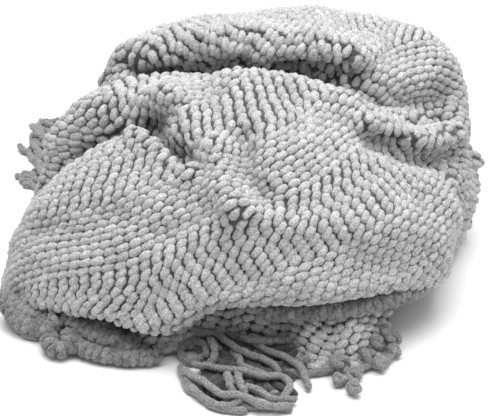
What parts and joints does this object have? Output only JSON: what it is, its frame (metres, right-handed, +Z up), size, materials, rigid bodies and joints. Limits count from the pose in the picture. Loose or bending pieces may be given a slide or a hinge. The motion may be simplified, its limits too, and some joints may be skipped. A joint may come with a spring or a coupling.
{
  "type": "knit throw",
  "caption": "Chunky chenille knit throw with a knotted fringe, dropped on the floor in a loose rounded heap of folds, its fringed end spread out in front",
  "frame": {"origin": "the middle of the underside of the whole part's box, on the floor", "axes": "+X to the right seen from the front hem, +Y from the front hem to the back, +Z up off the floor"},
  "size_m": [0.5144, 0.6434, 0.2541],
  "materials": {
    "throw_yarn": "matt chenille",
    "fringe_yarn": "matt chenille"
  },
  "bodies": {
    "root": {"throw": "throw_yarn", "fringe_front": "fringe_yarn", "fringe_back": "fringe_yarn"}
  },
  "joints": []
}
